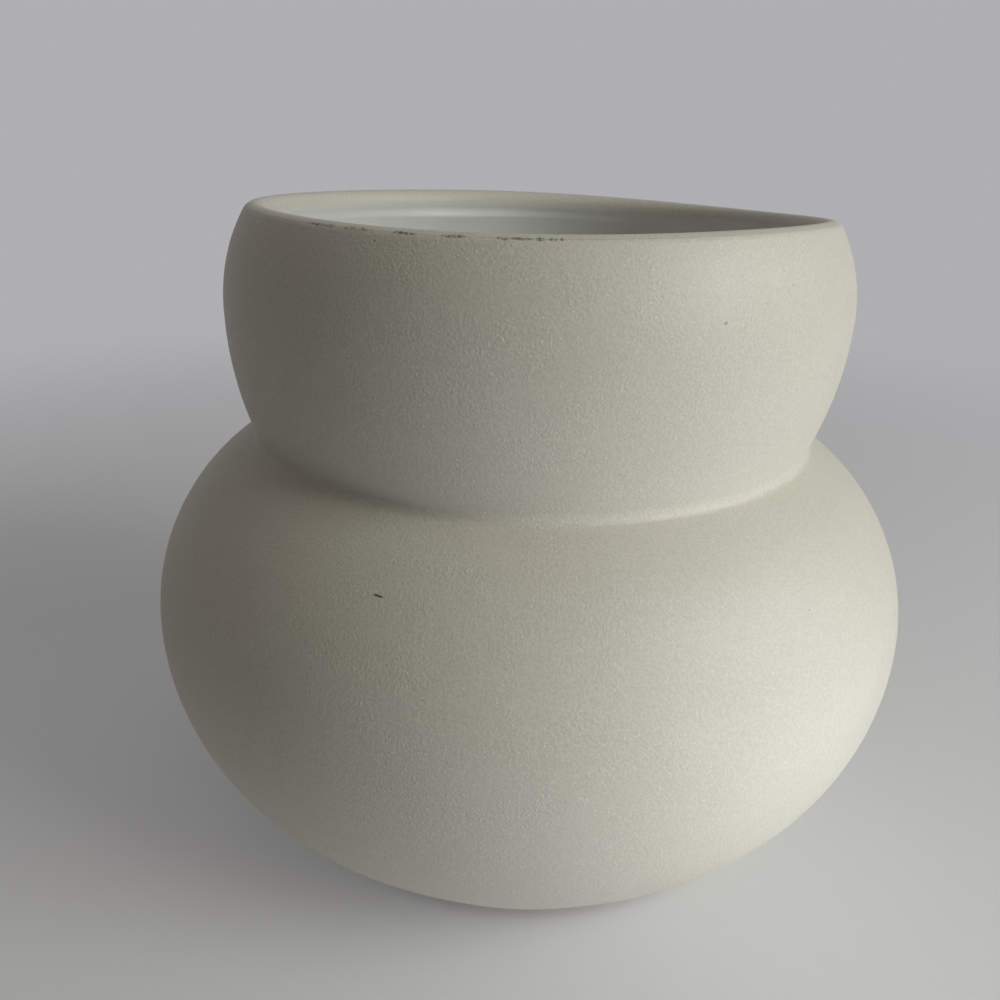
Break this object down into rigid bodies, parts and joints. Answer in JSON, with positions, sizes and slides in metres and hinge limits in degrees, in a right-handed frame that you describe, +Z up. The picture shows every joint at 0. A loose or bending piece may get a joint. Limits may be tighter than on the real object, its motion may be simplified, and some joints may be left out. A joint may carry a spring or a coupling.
{
  "type": "globe vase",
  "caption": "Stoneware flower vase: a squat lower globe, a creased waist and a cut-off upper globe with a rounded in-turned lip, satin outside and gloss inside.",
  "frame": {"origin": "centre of the foot ring, on the plane that it stands on", "axes": "+Z up along the axis that the vase is turned about; the pictured side faces -Y; X and Y are otherwise free"},
  "size_m": [0.165, 0.165, 0.1363],
  "materials": {
    "stoneware": "bare fired brown stoneware, fine grog",
    "luting_slip": "fired slip, hidden under the glazes",
    "satin_glaze": "satin ivory glaze with a fine sandy grain and dark flecks",
    "gloss_glaze": "smooth gloss ivory glaze"
  },
  "bodies": {
    "root": {"lower_globe": "stoneware", "upper_globe": "stoneware", "waist_slip": "luting_slip", "exterior_glaze": "satin_glaze", "interior_glaze": "gloss_glaze"}
  },
  "joints": []
}
